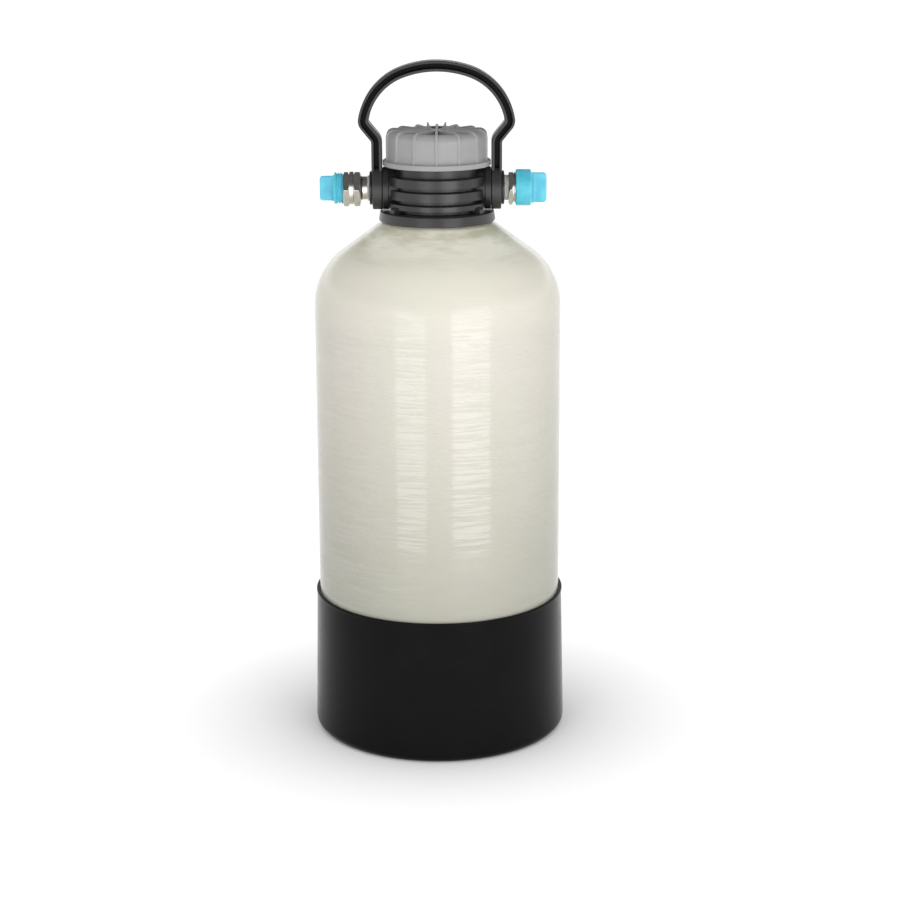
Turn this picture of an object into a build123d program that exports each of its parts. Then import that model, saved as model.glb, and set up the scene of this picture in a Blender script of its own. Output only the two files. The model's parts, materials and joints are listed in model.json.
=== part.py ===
from build123d import *
import os
from math import cos, radians, sin, sqrt, tan

# A portable water softener: a wound pressure vessel in a moulded boot, closed by a head
# that carries a bail handle, a screwed fill cap and two hose connections.
# Millimetres and degrees. The vessel's axis is Z, the floor is Z = 0, the inlet lies
# towards -X, the outlet towards +X, and the front faces -Y.

# Fits and gaps, and the overrun of every cut
overrun = 2.0
running_gap = 0.05
slip_gap = 0.1
bond_gap = 0.2
soft_gap = 0.3

# Pressure vessel
vessel_r = 102.5
vessel_h = 430.0
vessel_lift = 8.0
knuckle_r = 54.6
knuckle_turn = 54.0
collar_r = 45.0
collar_h = 0.5
shell_wall = 3.2
liner_wall = 2.4
neck_bore_r = 36.2
neck_bore_h = 24.0

# Boot
boot_h = 121.5
boot_wall = 2.2
boot_flare = 2.6
boot_corner_r = 7.0
boot_bead = 1.1
boot_floor = 4.0
boot_recess_r = 84.0
boot_recess_h = 1.6
drain_r = 22.0
boot_ring_r = 62.0
boot_web = 2.6
boot_web_count = 10

# Resin and the parts that gather the water
resin_level_share = 0.64
riser_r = 13.35
riser_wall = 2.0
basket_r = 21.0
basket_h = 58.0
basket_wall = 2.2
basket_socket_h = 16.0
basket_socket_wall = 3.0
slot_count = 16
slot_w = 1.2
slot_margin = 7.0

# Head
spigot_h = 23.0
flange_r = 48.2
flange_top_r = 46.9
flange_h = 8.3
flange_edge = 1.4
gasket_r = 42.6
gasket_w = 5.0
gasket_h = 2.0
land_r = 41.0
land_edge = 0.7
land_count = 3
groove_w = 3.0
groove_depth = 5.0
land_pitch = 10.6
lands_h = 29.0
mouth_r = 34.5
mouth_wall = 4.5
mouth_h = 30.0
lug_r = 44.2
lug_w = 5.4
lug_h = 5.0
lug_turn = 34.0

# Ports, along X from the vessel's axis
port_lift = 18.1
boss_r = 16.2
pad_r = 17.4
pad_in = 39.3
pad_out = 44.4
hub_r = 13.0
hub_end = 55.3
hub_lip_r = 13.8
hub_lip_w = 2.0
port_thread_r = 10.7
port_thread_in = 39.0
port_thread_room = 2.0
passage_r = 8.0

# Outlet elbow
elbow_r = 17.0
elbow_drop = 28.0
elbow_rise = 12.6
elbow_edge = 5.0
socket_depth = 16.0
branch_r = 11.5
branch_end = 35.0
branch_seal_w = 1.6
branch_seal_depth = 1.5
branch_seal_in = 31.6
riser_seal_w = 1.8
riser_seal_depth = 1.6
riser_seal_rise = 5.0

# Hose couplings, along X from the vessel's axis
tape_wall = 0.45
inlet_tape_end = 57.0
outlet_tape_end = 58.8
neck_r = 9.6
hex_in = 62.5
hex_out = 68.2
hex_flats = 28.2
hex_edge = 0.9
nut_in = 68.5
nut_hex_in = 71.6
nut_out = 77.0
nut_collar_r = 12.7
nut_lip_w = 1.5
nut_lip_gap = 0.3
tail_r = 10.4
tail_flange_r = 12.9
tail_flange_w = 1.4
hose_thread_r = 13.35
hose_thread_gap = 0.35
washer_r = 12.6
washer_w = 2.5
outlet_hex_out = 62.2
outlet_hex_flats = 26.8
outlet_thread_end = 73.9

# Blue plug and cap
plug_thread_end = 84.4
plug_hollow_r = 7.0
plug_hollow_h = 7.0
plug_seal_r = 11.2
plug_seal_w = 1.8
plug_seal_h = 1.4
tab_w = 4.2
tab_root = 1.0
plug_tab_end = 96.4
plug_tab_h = 20.2
plug_tab_corner = 2.5
cap_in = 64.7
cap_out = 77.6
cap_r = 15.0
cap_edge = 0.8
cap_washer_w = 2.0
cap_tab_end = 90.1
cap_tab_h = 24.5
cap_tab_corner = 3.0

# Fill cap
skirt_gap = 0.5
cap_rim_gap = 8.0
rim_r = 43.7
rim_h = 4.2
rim_edge = 0.6
panel_r = 39.9
panel_top = 29.9
panel_corner_r = 5.2
dish_r = 33.0
dish_drop = 1.8
dish_fall = 1.0
rib_count = 14
rib_w = 1.7
rib_proud = 1.0
rib_top = 32.2
rib_corner_r = 6.2
rib_fall = 1.2
rib_flat_r = 32.0
spanner_lug_r = 7.9
spanner_lug_w = 5.4
spanner_lug_t = 2.0
spanner_lug_top = 34.7
spanner_lug_land = 1.0
seal_w = 3.4
seal_h = 2.0

# Bail handle
bail_top = 103.6
bail_w = 8.6
bail_depth = 18.0
crown_r = 86.0
crown_turn = 20.0
side_r = 53.6
side_end = 10.0
kink_r = 11.0
lean = 39.5
foot_r = 4.0
arm_out = 53.4
eye_r = 17.6
eye_out = 52.8
eye_gap = 0.3
outer_flange = 2.0
inner_flange = 2.4
web_depth = 7.0

# Places that follow from the sizes above
neck_top = vessel_lift + vessel_h
boot_top_r = vessel_r + soft_gap + boot_wall
boot_foot_r = boot_top_r + boot_flare
flange_top = neck_top + flange_h
lands_top = flange_top + lands_h
mouth_top = lands_top + mouth_h
port_z = flange_top + port_lift
bore_r = mouth_r - mouth_wall
liner_skin = shell_wall + bond_gap
inner_skin = liner_skin + liner_wall
knuckle_axis_r = vessel_r - knuckle_r
knuckle_end_r = knuckle_axis_r + knuckle_r * cos(radians(knuckle_turn))
base_crown_r = knuckle_end_r / cos(radians(knuckle_turn))
base_crown_z = vessel_lift + base_crown_r
riser_foot = base_crown_z - sqrt((base_crown_r - inner_skin - soft_gap) ** 2 - basket_r**2)
lower_knuckle_z = base_crown_z - (base_crown_r - knuckle_r) * sin(radians(knuckle_turn))
cone_rise = (knuckle_end_r - collar_r) / tan(radians(knuckle_turn))
cone_foot_z = neck_top - collar_h - cone_rise
upper_knuckle_z = cone_foot_z - knuckle_r * sin(radians(knuckle_turn))


def save(name, piece):
    os.makedirs("parts", exist_ok=True)
    export_step(piece, f"parts/{name}.step")


def turned(outline):
    """Turns a closed outline, drawn as radius and height, about Z."""
    return revolve(Plane.XZ * make_face(outline), Axis.Z)


def lathe(*points):
    """Turns a straight-sided outline of (radius, height) points about Z."""
    return turned(Polyline(*points, close=True))


def disc(radius, low, high):
    return Pos(0, 0, low) * Cylinder(radius, high - low, align=(Align.CENTER, Align.CENTER, Align.MIN))


def ring(outer, inner, low, high):
    return disc(outer, low, high) - disc(inner, low - overrun, high + overrun)


def block(length, width, low, high):
    return Pos(0, 0, low) * Box(length, width, high - low, align=(Align.CENTER, Align.CENTER, Align.MIN))


def on_port(side, piece):
    """Lays a piece drawn along +Z, measured from the vessel's axis, along the port of one side."""
    frame = Plane(origin=(0, 0, port_z), x_dir=(0, side, 0), z_dir=(side, 0, 0))
    return frame.location * piece


def hexagon(flats, low, high, edge):
    """A hexagonal prism with both rims turned down, one corner towards the front."""
    corner_r = flats / sqrt(3)
    prism = Pos(0, 0, low) * extrude(RegularPolygon(corner_r, 6), high - low)
    rim_r = corner_r - 2 * edge
    barrel = lathe((0, low), (rim_r, low), (corner_r, low + edge), (corner_r, high - edge), (rim_r, high), (0, high))
    return prism & barrel


def vessel(inset):
    """The whole vessel as one solid, with its skin moved inwards by inset."""
    crown = base_crown_r - inset
    knuckle = knuckle_r - inset
    collar = collar_r - inset
    cone_foot_r = knuckle_axis_r + knuckle * cos(radians(knuckle_turn))
    cone_foot = upper_knuckle_z + knuckle * sin(radians(knuckle_turn))
    cone_top = cone_foot + (cone_foot_r - collar) / tan(radians(knuckle_turn))
    base = CenterArc((0, base_crown_z), crown, -90, 90 - knuckle_turn)
    heel = CenterArc((knuckle_axis_r, lower_knuckle_z), knuckle, -knuckle_turn, knuckle_turn)
    side = Line(heel @ 1, (vessel_r - inset, upper_knuckle_z))
    shoulder = CenterArc((knuckle_axis_r, upper_knuckle_z), knuckle, 0, knuckle_turn)
    cone = Line(shoulder @ 1, (collar, cone_top))
    rim = Polyline((collar, cone_top), (collar, neck_top), (0, neck_top), base @ 0)
    return turned([base, heel, side, shoulder, cone, rim])


def tank_shell():
    return vessel(0) - vessel(shell_wall)


def tank_liner():
    skin = vessel(liner_skin) - vessel(inner_skin)
    neck_wall = ring(collar_r - liner_skin, neck_bore_r, neck_top - neck_bore_h, neck_top)
    return skin + (neck_wall & vessel(liner_skin))


def base_boot():
    """A cup with a beaded rim and a raised floor, webbed inside up to the vessel's dome."""
    corner_z = boot_corner_r
    slope = (boot_foot_r - boot_top_r) / (boot_h - corner_z)
    wall = Polyline((boot_foot_r, corner_z), (boot_foot_r - slope * (boot_h - corner_z), boot_h), (0, boot_h), (0, 0))
    corner = CenterArc((boot_foot_r - boot_corner_r, corner_z), boot_corner_r, -90, 90)
    floor = Line((0, 0), corner @ 0)
    cup = turned([floor, corner, wall])
    bead_in = boot_top_r - boot_bead / 2
    bead_out = boot_top_r + boot_bead / 2
    bead = lathe(
        (bead_in, boot_h - 2 * boot_bead),
        (boot_top_r, boot_h - 2 * boot_bead),
        (bead_out, boot_h - 3 * boot_bead / 2),
        (bead_out, boot_h - boot_bead / 2),
        (boot_top_r, boot_h),
        (bead_in, boot_h),
    )
    cup = cup + bead
    cup = cup - disc(vessel_r + soft_gap, boot_floor, boot_h + overrun)
    cup = cup - disc(boot_recess_r, -overrun, boot_recess_h)
    webs = ring(boot_ring_r, boot_ring_r - boot_web, boot_floor, lower_knuckle_z)
    web_length = vessel_r + soft_gap - boot_ring_r + boot_web
    for turn in range(boot_web_count):
        web = Pos(boot_ring_r - boot_web / 2 + web_length / 2, 0, 0) * block(
            web_length, boot_web, boot_floor, lower_knuckle_z
        )
        webs = webs + Rot(0, 0, turn * 360 / boot_web_count) * web
    cup = cup + webs
    cup = cup - disc(drain_r, -overrun, boot_floor + overrun)
    return cup - vessel(-soft_gap)


def resin_bed():
    """The fill of resin beads, hollowed for the basket and the riser."""
    room = vessel(inner_skin + soft_gap)
    level = vessel_lift + resin_level_share * vessel_h
    bed = room & disc(vessel_r, 0, level)
    bed = bed - disc(basket_r + soft_gap, 0, riser_foot + basket_h + soft_gap)
    socket_top = riser_foot + basket_h + basket_socket_h
    bed = bed - disc(riser_r + slip_gap + basket_socket_wall + soft_gap, 0, socket_top + soft_gap)
    return bed - disc(riser_r + soft_gap, 0, level + overrun)


def lower_basket():
    """The strainer at the riser's foot: a slotted barrel, a floor and a socket for the pipe."""
    top = riser_foot + basket_h
    socket_r = riser_r + slip_gap + basket_socket_wall
    barrel = disc(basket_r, riser_foot, top) - disc(
        basket_r - basket_wall, riser_foot + basket_wall, top - basket_wall
    )
    barrel = barrel + disc(socket_r, top - basket_wall, top + basket_socket_h)
    barrel = barrel - disc(riser_r + slip_gap, top, top + basket_socket_h + overrun)
    barrel = barrel - disc(riser_r - riser_wall, top - basket_wall - overrun, top + overrun)
    slot = Pos(basket_r, 0, 0) * block(
        4 * basket_wall, slot_w, riser_foot + slot_margin, top - slot_margin
    )
    for turn in range(slot_count):
        barrel = barrel - Rot(0, 0, (turn + 0.5) * 360 / slot_count) * slot
    return barrel


def riser_tube():
    foot = riser_foot + basket_h
    top = port_z - elbow_drop + socket_depth
    return ring(riser_r, riser_r - riser_wall, foot, top)


def outlet_elbow():
    """Turns the riser's water to the outlet: a socket below, a spigot to the side."""
    foot = port_z - elbow_drop
    crown = port_z + elbow_rise
    body = lathe(
        (0, foot), (elbow_r, foot), (elbow_r, crown - elbow_edge), (elbow_r - elbow_edge, crown), (0, crown)
    )
    body = body + on_port(1, disc(branch_r, 0, branch_end))
    body = body - disc(riser_r + slip_gap, foot - overrun, foot + socket_depth)
    body = body - disc(riser_r - riser_wall, foot, port_z)
    body = body - on_port(1, disc(passage_r, 0, branch_end + overrun))
    seal_room = ring(
        branch_r + overrun, branch_r - branch_seal_depth, branch_seal_in, branch_seal_in + branch_seal_w
    )
    body = body - on_port(1, seal_room)
    riser_room = disc(riser_r + riser_seal_depth, foot + riser_seal_rise, foot + riser_seal_rise + riser_seal_w)
    return body - riser_room


def branch_seal():
    outer = branch_r + slip_gap / 2
    inner = branch_r - branch_seal_depth + slip_gap
    low = branch_seal_in + slip_gap
    return on_port(1, ring(outer, inner, low, branch_seal_in + branch_seal_w - slip_gap))


def riser_seal():
    low = port_z - elbow_drop + riser_seal_rise + slip_gap
    high = low + riser_seal_w - 2 * slip_gap
    return ring(riser_r + riser_seal_depth - slip_gap, riser_r + slip_gap / 2, low, high)


def neck_gasket():
    return ring(gasket_r, gasket_r - gasket_w, neck_top, neck_top + gasket_h)


def port_outside(side):
    """One port seen from outside: boss, pad, hub and the lip that the handle snaps over."""
    port = disc(boss_r, 0, pad_out) + disc(pad_r, pad_in, pad_out)
    port = port + disc(hub_r, pad_out, hub_end)
    lip = lathe(
        (0, hub_end - hub_lip_w),
        (hub_lip_r, hub_end - hub_lip_w),
        (hub_lip_r, hub_end - hub_lip_w / 2),
        (hub_lip_r - hub_lip_w / 4, hub_end),
        (0, hub_end),
    )
    return on_port(side, port + lip)


def head_body():
    """Flange, ring-grooved body, mouth, two ports and the spigot that screws into the neck."""
    core_r = land_r - groove_depth
    flange = lathe(
        (0, neck_top),
        (flange_r - flange_edge, neck_top),
        (flange_r, neck_top + flange_edge),
        (flange_top_r, flange_top),
        (0, flange_top),
    )
    body = flange + disc(core_r, neck_top, lands_top) + disc(mouth_r, lands_top, mouth_top)
    for land in range(land_count):
        high = lands_top - land * land_pitch
        low = max(high - land_pitch + groove_w, flange_top + groove_w)
        profile = lathe(
            (0, low), (land_r, low), (land_r, high - land_edge), (land_r - land_edge, high), (0, high)
        )
        body = body + profile
    for side in (-1, 1):
        body = body + port_outside(side)
    for front in (-1, 1):
        for side in (-1, 1):
            turn = 90 + front * 90 + side * front * lug_turn
            lug = Pos(lug_r - lug_w / 2, 0, 0) * block(lug_w, lug_w, flange_top - flange_edge, flange_top + lug_h)
            lug = fillet(lug.edges().group_by(Axis.Z)[-1].sort_by(Axis.X)[-1], lug_w / 2)
            body = body + Rot(0, 0, turn) * lug
    spigot_r = neck_bore_r - slip_gap
    body = body + disc(spigot_r, neck_top - spigot_h, neck_top)
    body = body - disc(bore_r, neck_top - spigot_h - overrun, mouth_top + overrun)
    body = body - ring(gasket_r + slip_gap, gasket_r - gasket_w - slip_gap, neck_top - overrun, neck_top + gasket_h)
    for side in (-1, 1):
        body = body - on_port(side, disc(passage_r, bore_r - overrun, hub_end))
        body = body - on_port(side, disc(port_thread_r, port_thread_in, hub_end + overrun))
    return body - on_port(1, disc(branch_r + slip_gap, 0, branch_end + slip_gap))


def thread_tape(side, end):
    outer = port_thread_r - slip_gap
    return on_port(side, ring(outer, outer - tape_wall, port_thread_in + port_thread_room, end))


def inlet_nipple():
    """Pipe thread, bare neck, fixed hexagon and the flanged tail that the swivel nut runs on."""
    thread_r = port_thread_r - 2 * slip_gap - tape_wall
    body = disc(thread_r, port_thread_in + port_thread_room, inlet_tape_end)
    body = body + disc(neck_r, inlet_tape_end, hex_in)
    body = body + hexagon(hex_flats, hex_in, hex_out, hex_edge)
    lip_end = nut_in + nut_lip_w
    body = body + disc(tail_r, hex_out, lip_end + nut_lip_gap)
    body = body + disc(tail_flange_r, lip_end + nut_lip_gap, lip_end + nut_lip_gap + tail_flange_w)
    body = body - disc(passage_r, 0, nut_out)
    return on_port(-1, body)


def swivel_nut():
    """Half collar, half hexagon, with a lip inside that hooks behind the nipple's tail flange."""
    body = hexagon(hex_flats, nut_hex_in, nut_out, hex_edge) + disc(nut_collar_r + hex_edge, nut_in, nut_hex_in)
    body = body - disc(tail_r + soft_gap, nut_in - overrun, nut_out)
    body = body - disc(hose_thread_r + hose_thread_gap - soft_gap, nut_in + nut_lip_w, nut_out + overrun)
    return on_port(-1, body)


def washer_low():
    return nut_in + nut_lip_w + nut_lip_gap + tail_flange_w


def hose_washer():
    low = washer_low()
    return on_port(-1, ring(washer_r, passage_r, low, low + washer_w))


def inlet_plug():
    """A threaded dust plug with a flat thumb tab."""
    nose = washer_low() + washer_w
    body = disc(hose_thread_r - soft_gap, nose, plug_thread_end)
    body = body - disc(plug_hollow_r, nose - overrun, nose + plug_hollow_h)
    room = ring(plug_seal_r, plug_seal_r - plug_seal_w, nose - overrun, nose + plug_seal_h)
    body = body - room
    return on_port(-1, body + tab(plug_thread_end, plug_tab_end, plug_tab_h, plug_tab_corner))


def inlet_plug_seal():
    nose = washer_low() + washer_w
    outer = plug_seal_r - slip_gap
    return on_port(-1, ring(outer, outer - plug_seal_w + 2 * slip_gap, nose, nose + plug_seal_h))


def tab(low, high, height, corner):
    """A flat tab that stands on an end face, with its two far corners rounded."""
    plate = block(tab_w, height, low - tab_root, high)
    far = plate.edges().filter_by(Axis.X).group_by(Axis.Z)[-1]
    return fillet(far, corner)


def outlet_nipple():
    """Pipe thread, thin hexagon and a male hose thread."""
    thread_r = port_thread_r - 2 * slip_gap - tape_wall
    body = disc(thread_r, port_thread_in + port_thread_room, outlet_tape_end)
    body = body + hexagon(outlet_hex_flats, outlet_tape_end, outlet_hex_out, hex_edge)
    body = body + disc(hose_thread_r, outlet_hex_out, outlet_thread_end)
    return on_port(1, body - disc(passage_r, 0, outlet_thread_end + overrun))


def outlet_cap_washer():
    return on_port(1, ring(washer_r, passage_r, outlet_thread_end, outlet_thread_end + cap_washer_w))


def outlet_cap():
    """A dust cap that screws over the outlet thread, with a flat thumb tab."""
    body = lathe(
        (0, cap_in),
        (cap_r - cap_edge, cap_in),
        (cap_r, cap_in + cap_edge),
        (cap_r, cap_out - cap_edge),
        (cap_r - cap_edge, cap_out),
        (0, cap_out),
    )
    body = body - disc(hose_thread_r + hose_thread_gap, cap_in - overrun, outlet_thread_end + cap_washer_w)
    return on_port(1, body + tab(cap_out, cap_tab_end, cap_tab_h, cap_tab_corner))


def fill_cap():
    """The screwed fill cap: a rim, a panelled skirt, a dished crown and ribs from rim to hub."""
    rim_z = lands_top + cap_rim_gap
    body_top = rim_z + panel_top
    lip_r = panel_r - panel_corner_r
    dish_z = body_top - dish_drop
    skirt = turned(
        [
            Polyline(
                (0, dish_z - dish_fall),
                (0, rim_z),
                (rim_r, rim_z),
                (rim_r, rim_z + rim_h - rim_edge),
                (rim_r - rim_edge, rim_z + rim_h),
                (panel_r, rim_z + rim_h),
                (panel_r, body_top - panel_corner_r),
            ),
            CenterArc((lip_r, body_top - panel_corner_r), panel_corner_r, 0, 90),
            Polyline((lip_r, body_top), (dish_r, dish_z), (0, dish_z - dish_fall)),
        ]
    )
    rib_r = panel_r + rib_proud
    rib_z = rim_z + rib_top
    rib_bend = rib_r - rib_corner_r
    rib_face = make_face(
        [
            Polyline(
                (0, rib_z - rib_fall),
                (0, rim_z + rim_h - rim_edge),
                (rib_r, rim_z + rim_h - rim_edge),
                (rib_r, rib_z - rib_corner_r),
            ),
            CenterArc((rib_bend, rib_z - rib_corner_r), rib_corner_r, 0, 90),
            Polyline((rib_bend, rib_z), (rib_flat_r, rib_z), (0, rib_z - rib_fall)),
        ]
    )
    rib = extrude(Plane.XZ * rib_face, rib_w / 2, both=True)
    body = skirt
    for turn in range(rib_count):
        body = body + Rot(0, 0, -90 + turn * 360 / rib_count) * rib
    lug_z = rim_z + spanner_lug_top
    for side in (0, 180):
        lug_face = make_face(
            Polyline(
                (spanner_lug_r, dish_z - dish_fall),
                (spanner_lug_r, lug_z),
                (spanner_lug_r - spanner_lug_land, lug_z),
                (spanner_lug_r - spanner_lug_w, dish_z - dish_fall),
                close=True,
            )
        )
        body = body + Rot(0, 0, side) * extrude(Plane.XZ * lug_face, spanner_lug_t / 2, both=True)
    return body - disc(mouth_r + skirt_gap, rim_z - overrun, mouth_top + seal_h)


def fill_cap_seal():
    return ring(mouth_r - slip_gap, mouth_r - seal_w, mouth_top, mouth_top + seal_h)


def bail_line(shift):
    """One half of the handle's centre line, moved outwards by shift, from crown to foot."""
    half = bail_w / 2
    top_z = port_z + bail_top
    crown = crown_r - half
    side = side_r - half
    kink = kink_r - half
    foot = foot_r + half
    arm_x = arm_out - half
    crown_z = top_z - crown_r
    side_x = (crown - side) * sin(radians(crown_turn))
    side_z = crown_z + (crown - side) * cos(radians(crown_turn))
    kink_x = side_x + (side - kink) * cos(radians(side_end))
    kink_z = side_z + (side - kink) * sin(radians(side_end))
    brace_x = kink_x + kink * cos(radians(lean))
    brace_z = kink_z - kink * sin(radians(lean))
    brace = (brace_x - foot * (1 - cos(radians(lean))) - arm_x) / sin(radians(lean))
    foot_x = brace_x - brace * sin(radians(lean)) + foot * cos(radians(lean))
    foot_z = brace_z - brace * cos(radians(lean)) - foot * sin(radians(lean))
    over = CenterArc((0, crown_z), crown + shift, 90, -crown_turn)
    flank = CenterArc((side_x, side_z), side + shift, 90 - crown_turn, side_end - 90 + crown_turn)
    bend = CenterArc((kink_x, kink_z), kink + shift, side_end, -side_end - lean)
    heel = CenterArc((foot_x, foot_z), foot - shift, 180 - lean, lean)
    return [over, flank, bend, Line(bend @ 1, heel @ 0), heel, Line(heel @ 1, (arm_x + shift, port_z))]


def bail_half(outer, inner, depth):
    """Half of the arch between two shifts of the centre line, as deep as depth."""
    out = bail_line(outer)
    back = bail_line(inner)
    closing = [Line(out[0] @ 0, back[0] @ 0), Line(out[-1] @ 1, back[-1] @ 1)]
    return extrude(Plane.XZ * make_face(out + back + closing), depth / 2, both=True)


def handle():
    """The bail: an I-section arch whose two round eyes turn on the hubs of the ports."""
    half = bail_w / 2
    eye_in = pad_out + eye_gap
    arch = bail_half(half, -half, bail_depth)
    web_out = half - outer_flange
    web_in = -half + inner_flange
    hollow = bail_half(web_out, web_in, bail_depth + overrun)
    hollow = hollow - bail_half(half, -half, bail_depth - 2 * web_depth)
    hollow = hollow - on_port(1, disc(eye_r, 0, arm_out + overrun))
    arch = arch - hollow
    trim = block(2 * (arm_out + overrun), 2 * eye_r, port_z - eye_r - overrun, port_z + overrun)
    eye = on_port(1, disc(eye_r, eye_in, eye_out))
    arch = arch - on_port(1, disc(eye_r, eye_out, arm_out + overrun)) - on_port(1, disc(eye_r, 0, eye_in))
    side = (arch - trim) + eye
    side = side - on_port(1, disc(hub_r + running_gap, 0, arm_out + overrun))
    return side + mirror(side, Plane.YZ)


pieces = {
    "tank_shell": tank_shell(),
    "tank_liner": tank_liner(),
    "base_boot": base_boot(),
    "resin_bed": resin_bed(),
    "lower_basket": lower_basket(),
    "riser_tube": riser_tube(),
    "riser_seal": riser_seal(),
    "outlet_elbow": outlet_elbow(),
    "elbow_seal": branch_seal(),
    "neck_gasket": neck_gasket(),
    "head_body": head_body(),
    "inlet_thread_tape": thread_tape(-1, inlet_tape_end),
    "inlet_nipple": inlet_nipple(),
    "swivel_nut": swivel_nut(),
    "hose_washer": hose_washer(),
    "inlet_plug_seal": inlet_plug_seal(),
    "inlet_plug": inlet_plug(),
    "outlet_thread_tape": thread_tape(1, outlet_tape_end),
    "outlet_nipple": outlet_nipple(),
    "outlet_cap_washer": outlet_cap_washer(),
    "outlet_cap": outlet_cap(),
    "fill_cap_seal": fill_cap_seal(),
    "fill_cap": fill_cap(),
    "handle": handle(),
}

for name, piece in pieces.items():
    save(name, piece)
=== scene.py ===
import json
from math import atan2, ceil, cos, pi, radians, sin, sqrt, tan

import bmesh
import bpy
from mathutils import Matrix, Vector


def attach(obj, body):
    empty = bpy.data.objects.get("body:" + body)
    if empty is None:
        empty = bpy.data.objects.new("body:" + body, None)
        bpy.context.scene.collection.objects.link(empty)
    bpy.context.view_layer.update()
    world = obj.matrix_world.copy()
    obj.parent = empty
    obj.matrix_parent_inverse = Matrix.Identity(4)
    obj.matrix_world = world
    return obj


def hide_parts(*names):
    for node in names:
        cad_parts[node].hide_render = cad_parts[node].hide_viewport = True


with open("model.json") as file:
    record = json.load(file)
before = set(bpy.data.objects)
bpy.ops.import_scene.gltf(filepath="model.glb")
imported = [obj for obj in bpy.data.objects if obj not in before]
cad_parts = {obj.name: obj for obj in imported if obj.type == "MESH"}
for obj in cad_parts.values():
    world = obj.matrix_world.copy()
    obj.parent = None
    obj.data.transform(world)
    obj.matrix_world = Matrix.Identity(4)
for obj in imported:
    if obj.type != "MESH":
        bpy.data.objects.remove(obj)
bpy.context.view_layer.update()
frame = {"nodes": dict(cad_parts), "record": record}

# A portable water softener. Sizes are in millimetres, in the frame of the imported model: the
# vessel's axis is Z, the floor is Z = 0, the inlet lies towards -X and the front faces -Y.
# Materials work in metres, so their depths are written as millimetres times MM.
MM = 0.001

ROOT = "vessel_and_head"

# Vessel and boot
vessel_r = 102.5
vessel_lift = 8.0
neck_top = 438.0
shell_wall = 3.2
knuckle_r = 54.6
knuckle_turn = radians(54.0)
collar_r = 45.0
collar_h = 0.5
boot_h = 121.5
boot_top_r = 105.0
boot_foot_r = 107.6
boot_corner_r = 7.0
boot_gap = 0.3
boot_floor = 4.0
boot_recess_r = 84.0
boot_recess_h = 1.6
drain_r = 22.0
boot_ring_r = 62.0
boot_web = 2.6
boot_web_count = 10
boot_web_sink = 1.0
boot_web_least = 2.0
boot_lip = 1.1

# Head
head_foot = 415.0
spigot_r = 36.1
flange_r = 48.2
flange_top_r = 46.9
flange_top = 446.3
land_r = 41.0
land_core_r = 36.0
lands = ((449.3, 454.1), (457.1, 464.7), (467.7, 475.3))
mouth_r = 34.5
mouth_top = 505.3
bore_r = 30.0
lug_r = 44.2
lug_w = 5.4
lug_top = 451.3
lug_turn = 34.0
lug_sink = 1.4

# Ports, measured along X from the vessel's axis
port_z = 464.4
boss_in = 31.0
boss_r = 16.2
boss_seat = 0.6
pad_r = 17.4
pad_in = 39.3
pad_out = 44.4
hub_r = 13.0
hub_end = 55.3
hub_lip_r = 13.8
hub_lip_w = 2.0
port_thread_r = 10.7
port_thread_in = 39.0
passage_r = 8.0

# Couplings, measured along X from the vessel's axis
nipple_in = 41.0
pipe_r = 10.05
tape_r = 10.55
tape_root_r = 10.18
tape_pitch = 1.4
inlet_tape_end = 57.0
outlet_tape_end = 58.8
neck_r = 9.6
hex_in = 62.5
hex_out = 68.2
hex_flats = 28.2
tail_r = 10.4
tail_flange_in = 70.3
tail_flange_out = 71.7
tail_flange_r = 12.9
nut_in = 68.5
nut_lip_w = 1.5
nut_lip_r = 10.7
nut_hex_in = 71.6
nut_out = 77.0
nut_collar_r = 13.6
nut_bore_r = 13.4
outlet_hex_out = 62.2
outlet_hex_flats = 26.8
outlet_thread_end = 73.9
hose_thread_r = 13.35
hose_root_r = 12.1
hose_lead = 2.209

# Blue plug and cap
plug_nose = 74.2
plug_thread_r = 13.05
plug_root_r = 11.9
plug_shoulder = 83.2
plug_thread_end = 84.4
plug_tab_end = 96.4
plug_tab_h = 20.2
plug_tab_corner = 2.5
tab_w = 4.2
cap_in = 64.7
cap_out = 77.6
cap_r = 15.0
cap_bore_r = 13.7
cap_bore_end = 75.9
cap_tab_end = 90.1
cap_tab_h = 24.5
cap_tab_corner = 3.0

# Fill cap, measured up from the underside of its rim
rim_z = 483.3
rim_r = 44.3
rim_h = 4.0
rim_edge = 0.6
panel_r = 41.1
panel_top = 27.9
panel_corner_r = 6.0
dish_r = 34.2
dish_drop = 1.8
dish_fall = 1.0
rib_count = 14
rib_w = 2.1
rib_proud = 1.3
rib_top = 29.4
rib_corner_r = 6.2
rib_flat_r = 33.4
rib_fall = 1.2
cap_bore = 35.0
cap_ceiling = 24.0
spanner_lug_r = 7.9
spanner_lug_w = 5.4
spanner_lug_t = 2.0
spanner_lug_top = 34.7
spanner_lug_land = 1.0
rib_start_r = 4.6
wall_fillet = 0.9
facet_start_r = 30.0
facet_full_r = 36.0

# Bail handle
bail_top = 103.6
bail_w = 8.6
bail_depth = 18.0
crown_r = 86.0
crown_turn = radians(20.0)
side_r = 53.6
side_end = radians(10.0)
kink_r = 11.0
lean = radians(39.5)
foot_r = 4.0
arm_out = 53.4
arm_foot = 13.5
eye_r = 17.6
eye_bore_r = hub_r + 0.05
eye_in = 44.7
eye_out = 52.8
outer_flange = 2.0
inner_flange = 2.4
web_t = 4.0

# How far a cutting tool reaches past what it cuts
CUT_PAST = 2.0

# Fineness of the meshes, and the form of a thread's flank
SIDES = 128
FINE_SIDES = 192
PORT_SIDES = 96
CUT_SIDES = 64
CORNER_STEPS = 5
THREAD_PEAK = 1.35
THREAD_SLOPE = 4.2
PANEL_COLUMNS = 9
DISH_ROWS = 8


# Outlines and meshes

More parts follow.
